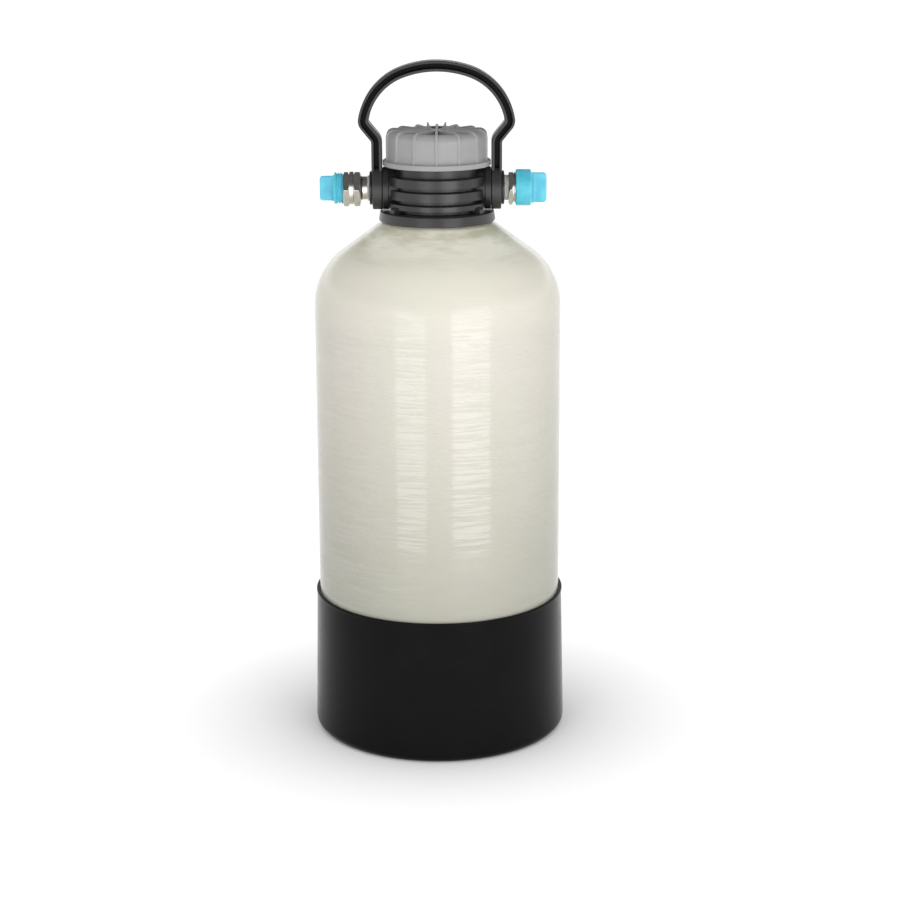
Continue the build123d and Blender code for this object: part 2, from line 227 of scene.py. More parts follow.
def rounded(*corners):
    """A closed outline from (x, y, radius) corners, each turned into an arc of its radius."""
    points = []
    for here, (x, y, radius) in enumerate(corners):
        corner = Vector((x, y))
        if radius == 0:
            points.append(corner)
            continue
        back = (Vector(corners[here - 1][:2]) - corner).normalized()
        ahead = (Vector(corners[(here + 1) % len(corners)][:2]) - corner).normalized()
        half = back.angle(ahead) / 2
        centre = corner + (back + ahead).normalized() * radius / sin(half)
        start = corner + back * radius / tan(half) - centre
        sweep = -start.angle_signed(corner + ahead * radius / tan(half) - centre)
        for step in range(CORNER_STEPS + 1):
            points.append(centre + Matrix.Rotation(sweep * step / CORNER_STEPS, 2) @ start)
    return points


def angles(sides):
    return [2 * pi * k / sides for k in range(sides)]


def arc(x, y, radius, start, sweep, steps):
    """Points along an arc, with angles in radians from +X."""
    turns = [start + sweep * step / steps for step in range(steps + 1)]
    return [Vector((x + radius * cos(turn), y + radius * sin(turn))) for turn in turns]


def skin(rings, closed=True):
    """A mesh over rings of points that all have the same count."""
    shape = bmesh.new()
    rows = [[shape.verts.new(point) for point in ring] for ring in rings]
    pairs = zip(rows, rows[1:] + rows[:1] if closed else rows[1:])
    for low, high in pairs:
        for k in range(len(low)):
            j = (k + 1) % len(low)
            shape.faces.new((low[k], low[j], high[j], high[k]))
    if not closed:
        shape.faces.new(rows[0][::-1])
        shape.faces.new(rows[-1])
    return tidy(shape)


def tidy(shape):
    """Welds what meets in a point, drops what has no area and turns all faces outwards."""
    bmesh.ops.remove_doubles(shape, verts=shape.verts, dist=1e-4)
    bmesh.ops.dissolve_degenerate(shape, edges=shape.edges, dist=1e-5)
    bmesh.ops.recalc_face_normals(shape, faces=shape.faces)
    return shape


def lathe(outline, sides=SIDES):
    """Turns a closed outline of radius and height about Z."""
    return skin([[(r * cos(t), r * sin(t), z) for t in angles(sides)] for r, z in outline])


def tube(outer, inner, low, high, edge, sides=SIDES):
    """A ring with rounded rims."""
    outline = rounded(
        (inner, low, edge / 2),
        (outer, low, edge),
        (outer, high, edge),
        (inner, high, edge / 2),
    )
    return lathe(outline, sides)


def plug_tool(radius, low, high, sides):
    """A plain solid rod along Z, to cut with."""
    return lathe([(0, low), (radius, low), (radius, high), (0, high)], sides)


def prism(outline, depth, edge):
    """A closed outline in X and Z, as deep as depth along Y, with all its edges rounded."""
    rings = [[(x, side * depth / 2, z) for x, z in outline] for side in (-1, 1)]
    shape = skin(rings, closed=False)
    sharp = [e for e in shape.edges if e.calc_face_angle(0) > radians(25)]
    bmesh.ops.bevel(
        shape, geom=sharp, affect="EDGES", offset=edge, offset_type="OFFSET",
        segments=3, profile=0.5, clamp_overlap=True,
    )
    return tidy(shape)


def hex_bar(flats, low, high, edge):
    """A hexagon with a corner towards the front, drawn along Z, its corners softly broken."""
    corner_r = flats / sqrt(3)
    corners = [(corner_r * cos(k * pi / 3), corner_r * sin(k * pi / 3), edge) for k in range(6)]
    outline = rounded(*corners)
    return skin([[(x, y, z) for x, y in outline] for z in (low, high)], closed=False)


def threaded(low, high, crest, root, lead, bore, rows_a_turn=12, fade=1.0):
    """A tube whose outside carries a right-handed thread that fades out at both ends."""
    count = ceil((high - low) / lead * rows_a_turn)
    turns = angles(PORT_SIDES)
    rings = [[(bore * cos(t), bore * sin(t), low) for t in turns]]
    for row in range(count + 1):
        z = low + (high - low) * row / count
        window = min(1.0, (z - low) / (fade * lead), (high - z) / (fade * lead))
        ring = []
        for t in turns:
            phase = (z / lead - t / (2 * pi)) % 1.0
            height = max(0.0, min(1.0, THREAD_PEAK - abs(phase - 0.5) * THREAD_SLOPE))
            r = root + (crest - root) * height * window
            ring.append((r * cos(t), r * sin(t), z))
        rings.append(ring)
    rings.append([(bore * cos(t), bore * sin(t), high) for t in turns])
    return skin(rings)


def on_port(side, shape):
    """Lays a shape drawn along +Z, measured from the vessel's axis, along the port of one side."""
    place = Matrix(((0, 0, side, 0), (side, 0, 0, 0), (0, 1, 0, port_z), (0, 0, 0, 1)))
    shape.transform(place)
    return shape


def moved(shape, x=0, z=0, turn=0):
    shape.transform(Matrix.Translation((x, 0, z)) @ Matrix.Rotation(turn, 4, "Z"))
    return shape


def joined(*shapes):
    """All shapes in one mesh, side by side."""
    whole = bmesh.new()
    for shape in shapes:
        part = bpy.data.meshes.new("part")
        shape.to_mesh(part)
        shape.free()
        whole.from_mesh(part)
        bpy.data.meshes.remove(part)
    return whole


def as_object(name, shape):
    mesh = bpy.data.meshes.new(name)
    shape.to_mesh(mesh)
    shape.free()
    thing = bpy.data.objects.new(name, mesh)
    bpy.context.scene.collection.objects.link(thing)
    return thing


def carved(base, shape, operation):
    """The base with another shape added, taken away or kept in common."""
    body = as_object("base", base)
    tool = as_object("tool", shape)
    cut = body.modifiers.new("cut", "BOOLEAN")
    cut.operation = operation
    cut.solver = "EXACT"
    cut.object = tool
    result = bmesh.new()
    result.from_object(body, bpy.context.evaluated_depsgraph_get())
    for thing in (body, tool):
        mesh = thing.data
        bpy.data.objects.remove(thing)
        bpy.data.meshes.remove(mesh)
    return tidy(result)


def piece(name, shape, body, slot, *nodes, crease=38):
    """Turns a shape in millimetres into a piece of the scene that stands for the named nodes."""
    shape.transform(Matrix.Scale(MM, 4))
    thing = as_object(name, shape)
    thing.data.polygons.foreach_set("use_smooth", [True] * len(thing.data.polygons))
    thing.data.set_sharp_from_angle(angle=radians(crease))
    even = thing.modifiers.new("even_normals", "WEIGHTED_NORMAL")
    even.keep_sharp = True
    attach(thing, body)
    if nodes:
        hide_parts(*nodes)
    thing.data.materials.append(finishes[slot])
    return thing


# Shader building

def shader_group(name, inputs, outputs):
    """An empty node group with named inputs (name, type, default) and outputs (name, type)."""
    group = bpy.data.node_groups.new(name, "ShaderNodeTree")
    for label, kind, default in inputs:
        socket = group.interface.new_socket(label, in_out="INPUT", socket_type=kind)
        socket.default_value = default
    for label, kind in outputs:
        group.interface.new_socket(label, in_out="OUTPUT", socket_type=kind)
    return group


class Wiring:
    """Adds nodes to a tree and links them by socket name."""

    def __init__(self, tree):
        self.tree = tree

    def feed(self, socket, source):
        """Links another node's socket to this one, or sets this one to a plain value."""
        if isinstance(source, bpy.types.NodeSocket):
            self.tree.links.new(source, socket)
        else:
            socket.default_value = source

    def node(self, kind, links=None, **settings):
        made = self.tree.nodes.new(kind)
        for key, value in settings.items():
            setattr(made, key, value)
        for socket, source in (links or {}).items():
            self.feed(made.inputs[socket], source)
        return made

    def maths(self, operation, a, b=0.0, clamp=False):
        return self.node("ShaderNodeMath", {0: a, 1: b}, operation=operation, use_clamp=clamp).outputs[0]

    def span(self, value, low, high, to_low=0.0, to_high=1.0):
        """Maps a value from one range to another, and keeps it inside."""
        links = {"Value": value, "From Min": low, "From Max": high, "To Min": to_low, "To Max": to_high}
        return self.node("ShaderNodeMapRange", links).outputs["Result"]

    def noise(self, place, scale, detail=3.0, roughness=0.55):
        links = {"Vector": place, "Scale": scale, "Detail": detail, "Roughness": roughness}
        return self.node("ShaderNodeTexNoise", links).outputs["Fac"]

    def stretched(self, place, x, y, z):
        return self.node("ShaderNodeMapping", {"Vector": place, "Scale": (x, y, z)}).outputs[0]

    def blend(self, factor, a, b):
        """Mixes two colours; the Mix node keeps its colour sockets at 6 and 7 and its result at 2."""
        return self.node("ShaderNodeMix", {0: factor, 6: a, 7: b}, data_type="RGBA").outputs[2]

    def bump(self, height, distance, normal=None):
        links = {"Height": height, "Distance": distance, "Strength": 1.0}
        if normal is not None:
            links["Normal"] = normal
        return self.node("ShaderNodeBump", links).outputs["Normal"]

    def use(self, group, **inputs):
        made = self.tree.nodes.new("ShaderNodeGroup")
        made.node_tree = group
        for label, source in inputs.items():
            self.feed(made.inputs[label], source)
        return made.outputs


def moulded_grain_group():
    """The fine spark grain of a moulding tool, with faint cloudy shade over it."""
    inputs = [
        ("Place", "NodeSocketVector", (0, 0, 0)),
        ("Scale", "NodeSocketFloat", 2200.0),
        ("Shade", "NodeSocketFloat", 0.15),
    ]
    outputs = [("Height", "NodeSocketFloat"), ("Tone", "NodeSocketFloat"), ("Wear", "NodeSocketFloat")]
    group = shader_group("moulded_grain", inputs, outputs)
    w = Wiring(group)
    given = w.node("NodeGroupInput").outputs
    fine = w.noise(given["Place"], given["Scale"], 4.0, 0.7)
    cloud = w.noise(given["Place"], 38.0, 4.0, 0.6)
    smear = w.noise(w.stretched(given["Place"], 30, 30, 240), 1.0, 3.0, 0.6)
    mixed = w.maths("ADD", w.maths("MULTIPLY", cloud, 0.7), w.maths("MULTIPLY", smear, 0.3))
    tone = w.maths("MULTIPLY", w.span(mixed, 0.3, 0.7, -1.0, 1.0), given["Shade"])
    edge = w.span(w.node("ShaderNodeNewGeometry").outputs["Pointiness"], 0.515, 0.60)
    worn = w.maths("MULTIPLY", edge, w.span(cloud, 0.35, 0.6, 0.45, 1.0))
    out = w.node("NodeGroupOutput")
    group.links.new(fine, out.inputs["Height"])
    group.links.new(tone, out.inputs["Tone"])
    group.links.new(worn, out.inputs["Wear"])
    return group


def dust_group():
    """Sparse specks and a thin film that gathers on what faces up."""
    inputs = [("Place", "NodeSocketVector", (0, 0, 0)), ("Amount", "NodeSocketFloat", 0.3)]
    group = shader_group("dust", inputs, [("Mask", "NodeSocketFloat")])
    w = Wiring(group)
    given = w.node("NodeGroupInput").outputs
    up = w.node("ShaderNodeSeparateXYZ", {0: w.node("ShaderNodeNewGeometry").outputs["Normal"]}).outputs["Z"]
    patches = w.noise(given["Place"], 60.0, 5.0, 0.7)
    film = w.maths("MULTIPLY", w.span(up, 0.2, 1.0), w.span(patches, 0.4, 0.75))
    specks = w.span(w.noise(given["Place"], 900.0, 1.0, 0.3), 0.74, 0.80)
    mask = w.maths("MULTIPLY", w.maths("ADD", film, specks), given["Amount"], clamp=True)
    out = w.node("NodeGroupOutput")
    group.links.new(mask, out.inputs["Mask"])
    return group


def new_material(name):
    """A material with its Principled node, its wiring and the place on the object in metres."""
    material = bpy.data.materials.new(name)
    material.use_nodes = True
    tree = material.node_tree
    tree.nodes.clear()
    w = Wiring(tree)
    surface = w.node("ShaderNodeBsdfPrincipled")
    out = w.node("ShaderNodeOutputMaterial")
    tree.links.new(surface.outputs[0], out.inputs["Surface"])
    place = w.node("ShaderNodeTexCoord").outputs["Object"]
    return material, w, surface, place


def set_sockets(w, surface, **values):
    """Feeds the shader's sockets, named with _ for each space."""
    for label, source in values.items():
        w.feed(surface.inputs[label.replace("_", " ")], source)


def scaled_color(color, factor):
    return (*(min(1.0, c * factor) for c in color), 1.0)


def moulded(name, color, rough, grain, shade, wear=0.0, dust=0.0, index=1.5, specular=0.5):
    """A moulded plastic: grain, cloudy shade, edges worn lighter and a little dust."""
    material, w, surface, place = new_material(name)
    grained = w.use(moulded_grain, Place=place, Shade=shade)
    dusty = w.use(dusting, Place=place, Amount=dust)["Mask"]
    tone = w.maths("ADD", grained["Tone"], 0.5)
    base = w.blend(tone, scaled_color(color, 0.72), scaled_color(color, 1.28))
    worn = w.blend(w.maths("MULTIPLY", grained["Wear"], wear), base, scaled_color(color, 2.2))
    dusted = w.blend(dusty, worn, (0.42, 0.41, 0.38, 1.0))
    roughness = w.span(grained["Tone"], -0.3, 0.3, rough - 0.06, rough + 0.08)
    set_sockets(
        w, surface, Base_Color=dusted, Roughness=roughness, IOR=index, Specular_IOR_Level=specular,
        Normal=w.bump(grained["Height"], grain),
    )
    return material


def wound_shell_finish():
    """Glass hoops under glossy resin: the wall mirrors tall and narrow, and the shoulder turns olive."""
    material, w, surface, place = new_material("wound_shell")
    height = w.node("ShaderNodeSeparateXYZ", {0: place}).outputs["Z"]

    bands = w.noise(w.stretched(place, 24, 24, 5), 1.0, 2.0, 0.5)
    warm = w.blend(w.span(bands, 0.35, 0.65), (0.628, 0.617, 0.535, 1.0), (0.655, 0.622, 0.557, 1.0))
    # Painted shade: the wall's colour darkens towards the boot, below 0.34 m.
    wall = w.blend(w.span(height, 0.08, 0.34), (0.345, 0.345, 0.286, 1.0), warm)
    # Painted light: the shoulder is coloured lighter than the wall, where it faces up and gets less light.
    body = w.blend(w.span(height, 0.350, 0.435), wall, (0.840, 0.820, 0.695, 1.0))

    swirl = w.noise(w.stretched(place, 22, 22, 110), 1.0, 3.0, 0.6)
    olive = w.maths("MULTIPLY", w.span(height, 0.404, 0.436), w.span(swirl, 0.42, 0.64, 0.0, 0.75))
    smears = w.noise(w.stretched(place, 70, 70, 120), 1.0, 2.0, 0.5)
    pale = w.maths("MULTIPLY", w.span(height, 0.385, 0.415), w.span(smears, 0.66, 0.74, 0.0, 0.7))
    color = w.blend(olive, body, (0.400, 0.405, 0.265, 1.0))
    color = w.blend(pale, color, (0.760, 0.745, 0.660, 1.0))

    hoops = w.noise(w.stretched(place, 26, 26, 700), 1.0, 2.0, 0.6)
    waves = w.noise(w.stretched(place, 16, 16, 30), 1.0, 1.0, 0.5)
    normal = w.bump(waves, 1.4 * MM, w.bump(hoops, 0.01 * MM))

    strands = w.noise(w.stretched(place, 20, 20, 640), 1.0, 2.0, 0.6)
    facing = w.node("ShaderNodeLayerWeight", {"Blend": 0.5}).outputs["Facing"]
    below_shoulder = w.span(height, 0.36, 0.40, 1.0, 0.1)
    glossed = w.maths("MULTIPLY", below_shoulder, w.span(facing, 0.30, 0.70, 1.0, 0.15))
    set_sockets(
        w, surface, Base_Color=color, Roughness=w.span(hoops, 0.36, 0.64, 0.14, 0.19), Normal=normal,
        Coat_Weight=w.maths("MULTIPLY", w.span(strands, 0.45, 0.54), glossed), Coat_Roughness=0.07,
        Anisotropic=0.9, Anisotropic_Rotation=0.25, Specular_IOR_Level=0.20,
        Subsurface_Weight=0.08, Subsurface_Radius=(0.01, 0.01, 0.008), Subsurface_Scale=1.0,
    )
    return material


def nickel_finish():
    """Nickel plate over turned brass, with fine tool marks round the axis of the couplings."""
    material, w, surface, place = new_material("nickel")
    turned = w.noise(w.stretched(place, 2600, 40, 40), 1.0, 3.0, 0.6)
    cloud = w.noise(place, 160.0, 3.0, 0.6)
    color = w.blend(w.span(cloud, 0.35, 0.65), (0.70, 0.675, 0.645, 1.0), (0.84, 0.82, 0.79, 1.0))
    roughness = w.span(w.maths("ADD", turned, cloud), 0.7, 1.3, 0.13, 0.27)
    set_sockets(
        w, surface, Base_Color=color, Metallic=1.0, Roughness=roughness, Normal=w.bump(turned, 0.03 * MM),
    )
    return material


def tape_finish():
    """White thread tape, its wraps slightly see-through and creased."""
    material, w, surface, place = new_material("tape")
    creases = w.noise(w.stretched(place, 1400, 220, 220), 1.0, 3.0, 0.65)
    color = w.blend(w.span(creases, 0.35, 0.65), (0.86, 0.86, 0.83, 1.0), (0.96, 0.96, 0.94, 1.0))
    set_sockets(
        w, surface, Base_Color=color, Roughness=0.45, Normal=w.bump(creases, 0.1 * MM),
        Subsurface_Weight=0.6, Subsurface_Radius=(0.003, 0.003, 0.003), Subsurface_Scale=1.0,
    )
    return material


def dust_cap_finish():
    """Light blue moulding, a little see-through, brightest where light gathers near its edges."""
    material, w, surface, place = new_material("dust_cap")
    cloud = w.noise(place, 120.0, 3.0, 0.5)
    flow = w.noise(w.stretched(place, 90, 400, 60), 1.0, 2.0, 0.5)
    mixed = w.maths("ADD", w.maths("MULTIPLY", cloud, 0.6), w.maths("MULTIPLY", flow, 0.4))
    color = w.blend(w.span(mixed, 0.35, 0.65), (0.075, 0.535, 0.720, 1.0), (0.145, 0.650, 0.815, 1.0))
    fine = w.noise(place, 1800.0, 3.0, 0.6)
    set_sockets(
        w, surface, Base_Color=color, Roughness=w.span(cloud, 0.3, 0.7, 0.16, 0.24),
        Normal=w.bump(fine, 0.03 * MM),
        Subsurface_Weight=0.25, Subsurface_Radius=(0.001, 0.003, 0.005), Subsurface_Scale=1.0,
    )
    return material


def resin_finish():
    """Amber ion-exchange beads."""
    material, w, surface, place = new_material("resin")
    cells = w.node("ShaderNodeTexVoronoi", {"Vector": place, "Scale": 1300.0}).outputs
    color = w.blend(w.span(cells["Distance"], 0.1, 0.7), (0.66, 0.36, 0.10, 1.0), (0.26, 0.12, 0.03, 1.0))
    set_sockets(w, surface, Base_Color=color, Roughness=0.35, Normal=w.bump(cells["Distance"], 0.4 * MM))
    return material


moulded_grain = moulded_grain_group()
dusting = dust_group()

finishes = {
    "wound_shell": wound_shell_finish(),
    "liner": moulded("liner", (0.80, 0.79, 0.72), rough=0.50, grain=0.02 * MM, shade=0.10),
    "boot": moulded(
        "boot", (0.004, 0.004, 0.0043), rough=0.20, grain=0.01 * MM, shade=0.30, wear=0.2, index=1.18
    ),
    "resin": resin_finish(),
    "inner_white": moulded("inner_white", (0.76, 0.76, 0.74), rough=0.42, grain=0.02 * MM, shade=0.08),
    "head": moulded(
        "head", (0.022, 0.0200, 0.0212), rough=0.31, grain=0.02 * MM, shade=0.35, wear=0.35, dust=0.04,
        specular=0.55,
    ),
    "handle": moulded(
        "handle", (0.034, 0.0335, 0.0345), rough=0.38, grain=0.01 * MM, shade=0.30, wear=0.30, dust=0.03
    ),
    # Painted shade: a darker copy of the handle's plastic for the hollows between its flanges, where shade
    # falls.
    "handle_painted_shade": moulded(
        "handle_painted_shade", (0.013, 0.013, 0.0135), rough=0.42, grain=0.01 * MM, shade=0.30, index=1.2
    ),
    "fill_cap": moulded(
        "fill_cap", (0.350, 0.345, 0.350), rough=0.46, grain=0.03 * MM, shade=0.18, wear=0.30, dust=0.10
    ),
    "nickel": nickel_finish(),
    "seal": moulded("seal", (0.018, 0.018, 0.018), rough=0.60, grain=0.02 * MM, shade=0.10),
    "tape": tape_finish(),
    "dust_cap": dust_cap_finish(),
}


# Vessel and boot

def vessel_side(inset):
    """The vessel's outline from the axis at the bottom to the top of the neck, moved inwards."""
    axis_r = vessel_r - knuckle_r
    end_r = axis_r + knuckle_r * cos(knuckle_turn)
    crown = end_r / cos(knuckle_turn)
    crown_z = vessel_lift + crown
    low_z = crown_z - (crown - knuckle_r) * sin(knuckle_turn)
    cone_foot = neck_top - collar_h - (end_r - collar_r) / tan(knuckle_turn)
    high_z = cone_foot - knuckle_r * sin(knuckle_turn)
    knuckle = knuckle_r - inset
    base = arc(0, crown_z, crown - inset, -pi / 2, pi / 2 - knuckle_turn, 14)
    heel = arc(axis_r, low_z, knuckle, -knuckle_turn, knuckle_turn, 14)
    shoulder = arc(axis_r, high_z, knuckle, 0, knuckle_turn, 18)
    collar = collar_r - inset
    foot_r, foot_z = shoulder[-1]
    cone_top = foot_z + (foot_r - collar) / tan(knuckle_turn)
    return base + heel[1:] + shoulder + [Vector((collar, cone_top)), Vector((collar, neck_top))]


def dome_z(radius):
    """Height of the underside of the vessel at a radius."""
    side = vessel_side(-boot_gap)
    for low, high in zip(side, side[1:]):
        if low.x <= radius <= high.x:
            return low.y + (high.y - low.y) * (radius - low.x) / max(high.x - low.x, MM)
    return side[0].y


def build_vessel():
    """The wound shell, open at the neck."""
    outline = vessel_side(0) + vessel_side(shell_wall)[::-1]
    piece("wound_shell", lathe(outline, FINE_SIDES), ROOT, "wound_shell", "tank_shell", crease=60)


def build_boot():
    """A cup with a rolled lip, and inside it the ring and webs that carry the vessel's dome."""
    inner = vessel_r + boot_gap
    lip_foot = boot_h - 2 * boot_lip
    lip_r = boot_top_r + boot_lip / 2
    outline = rounded(
        (drain_r, boot_recess_h, 0.5),
        (boot_recess_r, boot_recess_h, 0.5),
        (boot_recess_r, 0, 0.5),
        (boot_foot_r, 0, boot_corner_r),
        (boot_top_r, lip_foot, 0.3),
        (lip_r, lip_foot, 0.4),
        (lip_r, boot_h, 0.7),
        (inner, boot_h, 0.5),
        (inner, boot_floor, 3.0),
        (drain_r, boot_floor, 0.5),
    )
    cup = lathe(outline, FINE_SIDES)
    ring_in = boot_ring_r - boot_web
    ring_top = dome_z(ring_in)
    ribs = [tube(boot_ring_r, ring_in, boot_floor - boot_web_sink, ring_top, 0.3)]
    reach = [ring_in + (inner - ring_in) * k / 8 for k in range(9)]
    web_foot = boot_floor - boot_web_sink
    web_top = [(r, max(dome_z(r), boot_floor + boot_web_least)) for r in reach]
    for k in range(boot_web_count):
        web = prism([(inner, web_foot), (ring_in, web_foot)] + web_top, boot_web, 0.2)
        ribs.append(moved(web, turn=2 * pi * k / boot_web_count))
    piece("boot", joined(cup, *ribs), ROOT, "boot", "base_boot")


# Head

def port_outside(side):
    """A boss with its pad, hub and snap lip, and the stepped bore through them."""
    outline = rounded(
        (passage_r, boss_in, 0),
        (boss_r, boss_in, 0),
        (boss_r, pad_in, 0.4),
        (pad_r, pad_in, 0.7),
        (pad_r, pad_out, 0.7),
        (hub_r, pad_out, 0.3),
        (hub_r, hub_end - hub_lip_w, 0.2),
        (hub_lip_r, hub_end - hub_lip_w, 0.3),
        (hub_lip_r, hub_end, 0.6),
        (port_thread_r, hub_end, 0.4),
        (port_thread_r, port_thread_in, 0.3),
        (passage_r, port_thread_in, 0.3),
    )
    return on_port(side, lathe(outline, PORT_SIDES))


def build_head():
    """The turned body with its lands, then the two ports and the four lugs on the flange."""
    corners = [(bore_r, head_foot, 0.5), (spigot_r, head_foot, 0.8), (spigot_r, neck_top, 0.2)]
    corners += [(flange_r, neck_top, 1.1), (flange_top_r, flange_top, 1.0), (land_core_r, flange_top, 0.6)]
    for low, high in lands:
        corners += [
            (land_core_r, low, 0.6),
            (land_r, low, 0.35),
            (land_r, high, 0.75),
            (land_core_r, high, 0.6),
        ]
    corners[-1] = (mouth_r, corners[-1][1], 0.6)
    corners += [(mouth_r, mouth_top, 0.8), (bore_r, mouth_top, 0.8)]
    head = lathe(rounded(*corners), SIDES)
    for side in (-1, 1):
        room = on_port(side, plug_tool(boss_r - boss_seat, boss_in, hub_end, CUT_SIDES))
        passage = on_port(side, plug_tool(passage_r, bore_r - passage_r, hub_end, PORT_SIDES))
        head = carved(carved(head, room, "DIFFERENCE"), passage, "DIFFERENCE")
        head = carved(head, port_outside(side), "UNION")
    lug_outline = rounded(
        (-lug_w / 2, flange_top - lug_sink, 0),
        (lug_w / 2, flange_top - lug_sink, 0),
        (lug_w / 2, lug_top, 2.5),
        (-lug_w / 2, lug_top, 0.6),
    )
    for turn in (-lug_turn, lug_turn, 180 - lug_turn, 180 + lug_turn):
        lug = moved(prism(lug_outline, lug_w, 0.4), x=lug_r - lug_w / 2)
        head = carved(head, moved(lug, turn=radians(turn)), "UNION")
    piece("head", head, ROOT, "head", "head_body")


# Bail handle

def bail_line():
    """(point, outward normal) along one half of the handle's centre line, from crown to foot."""
    half = bail_w / 2
    crown, side, kink, foot = crown_r - half, side_r - half, kink_r - half, foot_r + half
    arm_x = arm_out - half
    crown_z = port_z + bail_top - crown_r
    side_x = (crown - side) * sin(crown_turn)
    side_z = crown_z + (crown - side) * cos(crown_turn)
    kink_x = side_x + (side - kink) * cos(side_end)
    kink_z = side_z + (side - kink) * sin(side_end)
    brace_x = kink_x + kink * cos(lean)
    brace_z = kink_z - kink * sin(lean)
    brace = (brace_x - foot * (1 - cos(lean)) - arm_x) / sin(lean)
    foot_x = brace_x - brace * sin(lean) + foot * cos(lean)
    foot_z = brace_z - brace * cos(lean) - foot * sin(lean)
    line = []
    for x, z, radius, start, sweep, steps in (
        (0, crown_z, crown, pi / 2, -crown_turn, 10),
        (side_x, side_z, side, pi / 2 - crown_turn, side_end - pi / 2 + crown_turn, 22),
        (kink_x, kink_z, kink, side_end, -side_end - lean, 12),
        (foot_x, foot_z, -foot, -lean, lean, 10),
    ):
        for step in range(steps + 1):
            turn = start + sweep * step / steps
            outward = Vector((cos(turn), sin(turn)))
            line.append((Vector((x, z)) + outward * radius, outward))
    line.append((Vector((arm_x, port_z + arm_foot)), Vector((1, 0))))
    return line


def build_handle():
    """An I-section along the line, with an eye at each foot and painted shade in its hollows."""
    half = bail_w / 2
    deep = bail_depth / 2
    web = web_t / 2
    web_out = half - outer_flange
    web_in = -half + inner_flange
    section = rounded(
        (half, -deep, 0.7), (half, deep, 0.7), (web_out, deep, 0.35), (web_out, web, 0.5),
        (web_in, web, 0.5), (web_in, deep, 0.35), (-half, deep, 0.7), (-half, -deep, 0.7),
        (web_in, -deep, 0.35), (web_in, -web, 0.5), (web_out, -web, 0.5), (web_out, -deep, 0.35),
    )
    right = bail_line()
    left = [(Vector((-at.x, at.y)), Vector((-out.x, out.y))) for at, out in right[:0:-1]]
    line = left + right
    rings = [[(at.x + out.x * u, v, at.y + out.y * u) for u, v in section] for at, out in line]
    bail = skin(rings, closed=False)
    eye = rounded(
        (eye_bore_r, eye_in, 0.3),
        (eye_r, eye_in, 0.8),
        (eye_r, eye_out, 0.8),
        (eye_bore_r, eye_out, 0.3),
    )
    for side in (-1, 1):
        bail = carved(bail, on_port(side, lathe(eye, PORT_SIDES)), "UNION")
        bore = plug_tool(eye_bore_r, eye_in - CUT_PAST, eye_out + CUT_PAST, PORT_SIDES)
        bail = carved(bail, on_port(side, bore), "DIFFERENCE")
    # Faces sunk between the flanges above the eyes take the darker copy, as painted shade.
    for face in bail.faces:
        centre = face.calc_center_median()
        flat = Vector((centre.x, centre.z))
        at, out = min(line, key=lambda pair: (pair[0] - flat).length_squared)
        between_flanges = web_in - 0.05 < (flat - at).dot(out) < web_out + 0.05
        sunk = abs(centre.y) < deep - 0.3
        face.material_index = int(between_flanges and sunk and centre.z > port_z + eye_r - 1)
    bail_piece = piece("bail", bail, "handle", "handle", "handle")
    bail_piece.data.materials.append(finishes["handle_painted_shade"])


# Fill cap

def cap_rows():
    """(panel point, rib point) pairs from the middle of the crown down the outside to the rim."""
    rib_r = panel_r + rib_proud
    dish_z = panel_top - dish_drop
    wall_foot = rim_h + wall_fillet
    rows = []
    for k in range(DISH_ROWS + 1):
        share = k / DISH_ROWS
        near = rib_start_r + (dish_r - rib_start_r) * share
        rib_near = rib_start_r + (rib_flat_r - rib_start_r) * share
        panel = (near, dish_z - dish_fall * (1 - near / dish_r))
        rows.append((panel, (rib_near, rib_top - rib_fall * (1 - rib_near / rib_flat_r))))
    rows.append(((dish_r + 0.5, dish_z + 0.7), (rib_flat_r + 1.2, rib_top)))
    wall_top = panel_top - panel_corner_r
    rib_wall_top = rib_top - rib_corner_r
    panel_bend = arc(panel_r - panel_corner_r, wall_top, panel_corner_r, pi / 2 + 0.35, -pi / 2 - 0.35, 12)
    rib_bend = arc(rib_r - rib_corner_r, rib_wall_top, rib_corner_r, pi / 2, -pi / 2, 12)
    rows += [(tuple(panel), tuple(rib)) for panel, rib in zip(panel_bend, rib_bend)]
    for share in (0.25, 0.5, 0.75, 0.9):
        panel = (panel_r, wall_top + (wall_foot - wall_top) * share)
        rows.append((panel, (rib_r, rib_wall_top + (wall_foot - rib_wall_top) * share)))
    for step in range(5):
        turn = pi + pi / 2 * step / 4
        out = panel_r + wall_fillet * (1 + cos(turn))
        low = rim_h + wall_fillet * (1 + sin(turn))
        rows.append(((out, low), (max(rib_r, out), low)))
    return rows


def rib_columns(pitch, radius):
    """(angle from the rib's middle, share of the rib's height) pairs from one rib to the next."""
    half = rib_w / 2
    flank = (
        (0.0, 1.0),
        (half - 0.4, 1.0),
        (half - 0.15, 0.9),
        (half, 0.55),
        (half + 0.15, 0.12),
        (half + 0.45, 0.0),
    )
    columns = [(offset / radius, weight) for offset, weight in flank]
    limit = min(1.0, 0.92 * (pitch / 2) / columns[-1][0])
    columns = [(turn * limit, weight) for turn, weight in columns]
    edge = columns[-1][0]
    steps = range(1, PANEL_COLUMNS + 1)
    panel = [(edge + (pitch - 2 * edge) * k / (PANEL_COLUMNS + 1), 0.0) for k in steps]
    return columns + panel + [(pitch - turn, weight) for turn, weight in columns[:0:-1]]


